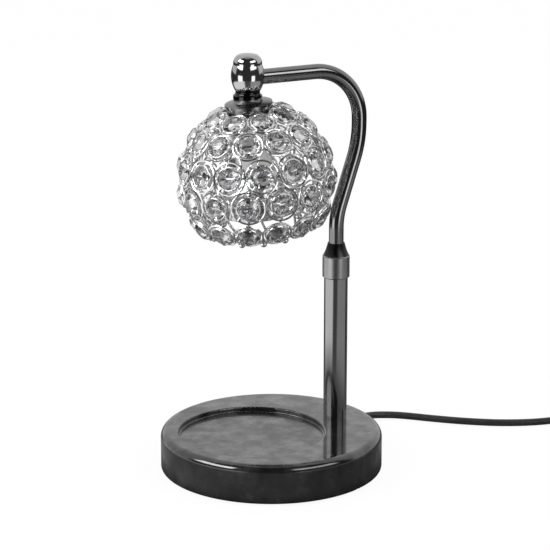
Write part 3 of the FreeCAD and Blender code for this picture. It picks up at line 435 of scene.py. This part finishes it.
# The lampholder is glazed porcelain on a steel bracket, fed by two insulated wires. The
# bulb's base is porcelain too.
porcelain, wire = new_material("porcelain")
place = wire.node("ShaderNodeTexCoord", output="Object")
glaze = wire.node("ShaderNodeTexNoise", (), {"Vector": place, "Scale": 90.0, "Detail": 3.0})
bump = wire.node("ShaderNodeBump", (), {"Height": glaze, "Strength": 0.1, "Distance": 0.0003})
tone = wire.node("ShaderNodeValToRGB", {"stops": (
    (0.3, (0.86, 0.85, 0.83)), (0.7, (0.91, 0.90, 0.88)))}, {"Fac": glaze})
skin = wire.node("ShaderNodeBsdfPrincipled", (), {
    "Base Color": tone, "Roughness": 0.16 + 0.1 * glaze, "Normal": bump, "Coat Weight": 0.5})
wire.node("ShaderNodeOutputMaterial", (), {"Surface": skin})
paint(porcelain, "lampholder", "bulb_base")

wire_sleeve, wire = new_material("wire_sleeve")
place = wire.node("ShaderNodeTexCoord", output="Object")
weave = wire.node("ShaderNodeTexNoise", (), {"Vector": place, "Scale": 700.0, "Detail": 2.0})
skin = wire.node("ShaderNodeBsdfPrincipled", (), {
    "Base Color": (0.80, 0.79, 0.76, 1.0), "Roughness": 0.55 + 0.2 * weave})
wire.node("ShaderNodeOutputMaterial", (), {"Surface": skin})
paint(wire_sleeve, "holder_wires", "supply_lead", "lift_lead", "arm_lead")


# The bulb is a small reflector lamp: a mirrored glass cup with a frosted front glass and
# a capsule inside, on a twist-lock base with two headed pins.
mirror_glass, wire = new_material("mirror_glass")
place = wire.node("ShaderNodeTexCoord", output="Object")
ripple = wire.node("ShaderNodeTexVoronoi", (), {"Vector": place, "Scale": 260.0})
bump = wire.node("ShaderNodeBump", (), {"Height": ripple, "Strength": 0.35, "Distance": 0.0006})
skin = wire.node("ShaderNodeBsdfPrincipled", (), {
    "Base Color": (0.80, 0.80, 0.81, 1.0), "Metallic": 1.0, "Roughness": 0.10 + 0.08 * ripple,
    "Normal": bump})
wire.node("ShaderNodeOutputMaterial", (), {"Surface": skin})
paint(mirror_glass, "bulb_reflector")

frosted_glass, wire = new_material("frosted_glass")
place = wire.node("ShaderNodeTexCoord", output="Object")
frost = wire.node("ShaderNodeTexNoise", (), {"Vector": place, "Scale": 500.0, "Detail": 3.0})
bump = wire.node("ShaderNodeBump", (), {"Height": frost, "Strength": 0.2, "Distance": 0.0003})
skin = wire.node("ShaderNodeBsdfPrincipled", (), {
    "Base Color": (0.90, 0.90, 0.89, 1.0), "Roughness": 0.30 + 0.2 * frost,
    "Transmission Weight": 0.7, "IOR": 1.48, "Normal": bump})
wire.node("ShaderNodeOutputMaterial", (), {"Surface": skin})
paint(frosted_glass, "bulb_front_glass", "bulb_capsule")


# The shade's frame is chromed wire: hoops and two layers of leaning ribs under a crown
# ring. Small chromed balls finish the open rim.
bright_chrome, wire = new_material("bright_chrome")
place = wire.node("ShaderNodeTexCoord", output="Object")
haze = wire.node("ShaderNodeTexNoise", (), {"Vector": place, "Scale": 110.0, "Detail": 3.0})
tone = wire.node("ShaderNodeValToRGB", {"stops": (
    (0.3, (0.80, 0.80, 0.80)), (0.7, (0.90, 0.90, 0.90)))}, {"Fac": haze})
skin = wire.node("ShaderNodeBsdfPrincipled", (), {
    "Base Color": tone, "Metallic": 1.0, "Roughness": 0.10 + 0.08 * haze})
wire.node("ShaderNodeOutputMaterial", (), {"Surface": skin})
paint(bright_chrome, "shade_hoops", "shade_ribs_outer", "shade_ribs_inner", "rim_beads")


# Each crystal is a pressed and cut glass stone, 14 mm across, clamped in a chromed ring
# whose rolled lip carries eight small claws. Four pins hold a ring of wire round each
# setting, and neighbouring wire rings meet, so that the five rows close into a ball.
crystal_glass, wire = new_material("crystal_glass")
place = wire.node("ShaderNodeTexCoord", output="Object")
film = wire.node("ShaderNodeTexNoise", (), {"Vector": place, "Scale": 80.0, "Detail": 2.0})
skin = wire.node("ShaderNodeBsdfPrincipled", (), {
    "Base Color": (0.74, 0.74, 0.75, 1.0), "Roughness": 0.015 * film,
    "Transmission Weight": 1.0, "IOR": 1.56})
wire.node("ShaderNodeOutputMaterial", (), {"Surface": skin})

shade_top, shade_lean, ball_drop = (-0.017, 0.0, 0.257), math.radians(-6.5), 0.0554
ball_place = (Matrix.Translation(shade_top) @ Matrix.Rotation(shade_lean, 4, "Y")
              @ Matrix.Translation((0.0, 0.0, -ball_drop)))
stone_back = 0.048
stone_rings = (
    # height over the back, radius, corners, turn
    (0.0000, 0.0030, 8, 22.5), (0.0015, 0.0070, 16, 0.0), (0.0023, 0.0070, 16, 0.0),
    (0.0039, 0.0056, 8, 0.0), (0.0050, 0.0037, 8, 22.5),
)
setting_profile = (
    # radius, height over the stone's back
    (0.00705, -0.0006), (0.00780, -0.0006), (0.00800, -0.0004), (0.00800, 0.0016),
    (0.00785, 0.0022), (0.00750, 0.0025), (0.00710, 0.0024),
)
claw_circle, claw_height, claw_radius = 0.0069, 0.0026, 0.0007
pin_foot, pin_radius, wire_radius, wire_height = 0.0078, 0.0007, 0.00065, 0.0008
rows = (
    # name, latitude, count, bearing of the first, radius of the ring round each setting
    ("one", 61.0, 8, -97.0, 0.0094), ("two", 41.0, 12, -90.0, 0.0096),
    ("three", 17.0, 14, -85.0, 0.0105), ("four", -6.0, 14, -97.9, 0.0109),
    ("five", -32.0, 14, -102.0, 0.0094),
)


def cut_stone():
    """A flat table, a step of kite facets, a thin girdle and a shallow back."""
    stone = bmesh.new()
    for rise, radius, corners, turn in stone_rings:
        bmesh.ops.create_circle(stone, segments=corners, radius=radius, matrix=Matrix.Translation(
            (0.0, 0.0, rise)) @ Matrix.Rotation(math.radians(turn), 4, "Z"))
    bmesh.ops.convex_hull(stone, input=stone.verts)
    loose = [e for e in stone.edges if not e.link_faces]
    bmesh.ops.delete(stone, geom=loose, context="EDGES")
    bmesh.ops.dissolve_limit(
        stone, angle_limit=math.radians(1.0), verts=stone.verts, edges=stone.edges)
    bmesh.ops.recalc_face_normals(stone, faces=stone.faces)
    return stone


def turned_setting(ring_radius):
    """The turned ring with its claws, and the wire ring on four pins round it."""
    setting = bmesh.new()
    corners = [setting.verts.new((radius, 0.0, rise)) for radius, rise in setting_profile]
    edges = [setting.edges.new((corners[i - 1], corners[i])) for i in range(len(corners))]
    bmesh.ops.spin(setting, geom=corners + edges, cent=(0.0, 0.0, 0.0), axis=(0.0, 0.0, 1.0),
                   angle=2.0 * math.pi, steps=24, use_merge=True)
    bmesh.ops.remove_doubles(setting, verts=setting.verts, dist=1e-6)
    for face in setting.faces:
        face.smooth = True
    for claw in range(8):
        turn = Matrix.Rotation(math.radians(45.0 * claw + 22.5), 4, "Z")
        claw_place = (turn @ Matrix.Translation((claw_circle, 0.0, claw_height))
                      @ Matrix.Diagonal((1.3, 0.8, 0.8, 1.0)))
        bmesh.ops.create_icosphere(
            setting, subdivisions=1, radius=claw_radius, matrix=claw_place)
    hoop_wire = bmesh.ops.create_circle(
        setting, segments=8, radius=wire_radius,
        matrix=(Matrix.Translation((ring_radius, 0.0, wire_height))
                @ Matrix.Rotation(math.radians(90.0), 4, "X")))["verts"]
    section = hoop_wire + list(dict.fromkeys(e for v in hoop_wire for e in v.link_edges))
    bmesh.ops.spin(setting, geom=section, cent=(0.0, 0.0, 0.0), axis=(0.0, 0.0, 1.0),
                   angle=2.0 * math.pi, steps=32, use_merge=True)
    reach = ring_radius - pin_foot
    for pin in range(4):
        pin_place = (Matrix.Rotation(math.radians(90.0 * pin + 45.0), 4, "Z")
                     @ Matrix.Translation((pin_foot + reach / 2, 0.0, wire_height))
                     @ Matrix.Rotation(math.radians(90.0), 4, "Y"))
        bmesh.ops.create_cone(setting, cap_ends=True, segments=8, radius1=pin_radius,
                              radius2=pin_radius, depth=reach, matrix=pin_place)
    bmesh.ops.remove_doubles(setting, verts=setting.verts, dist=1e-6)
    bmesh.ops.recalc_face_normals(setting, faces=setting.faces)
    return setting


def strung(row_name, pattern, latitude, count, first, finish):
    """Copies of one piece all round the ball at one latitude, joined into one mesh."""
    facing_out = Matrix.Rotation(math.radians(90.0), 4, "Y")
    row = bmesh.new()
    for k in range(count):
        single = pattern.copy()
        bearing = math.radians(first + 360.0 * k / count)
        bmesh.ops.transform(single, verts=single.verts, matrix=(
            ball_place @ Matrix.Rotation(bearing, 4, "Z")
            @ Matrix.Rotation(math.radians(-latitude), 4, "Y")
            @ Matrix.Translation((stone_back, 0.0, 0.0)) @ facing_out))
        passing = bpy.data.meshes.new("passing")
        single.to_mesh(passing)
        single.free()
        row.from_mesh(passing)
        bpy.data.meshes.remove(passing)
    return link_mesh(row_name, row, finish)


stone_pattern = cut_stone()
for name, latitude, count, first, ring_radius in rows:
    stones = strung(f"cut_stones_{name}", stone_pattern, latitude, count, first, crystal_glass)
    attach(stones, "arm")
    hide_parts(f"crystal_row_{name}")
    setting_pattern = turned_setting(ring_radius)
    settings = strung(f"settings_{name}", setting_pattern, latitude, count, first, bright_chrome)
    setting_pattern.free()
    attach(settings, "arm")
    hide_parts(f"bezel_row_{name}")
stone_pattern.free()


# The in-line dimmer and the plug are moulded in black plastic with a fine spark-eroded
# grain. The tie round the coil and the strain relief are softer.
moulded_black, wire = new_material("moulded_black")
place = wire.node("ShaderNodeTexCoord", output="Object")
grain = wire.node("ShaderNodeTexNoise", (), {"Vector": place, "Scale": 1100.0, "Detail": 3.0})
bump = wire.node("ShaderNodeBump", (), {"Height": grain, "Strength": 0.25, "Distance": 0.0002})
skin = wire.node("ShaderNodeBsdfPrincipled", (), {
    "Base Color": (0.013, 0.013, 0.014, 1.0), "Roughness": 0.38 + 0.2 * grain, "Normal": bump})
wire.node("ShaderNodeOutputMaterial", (), {"Surface": skin})
paint(moulded_black, "dimmer_lower_shell", "dimmer_upper_shell", "dimmer_wheel",
      "dimmer_control", "plug_body")
paint(lead_black, "strain_relief", "cord_tie")
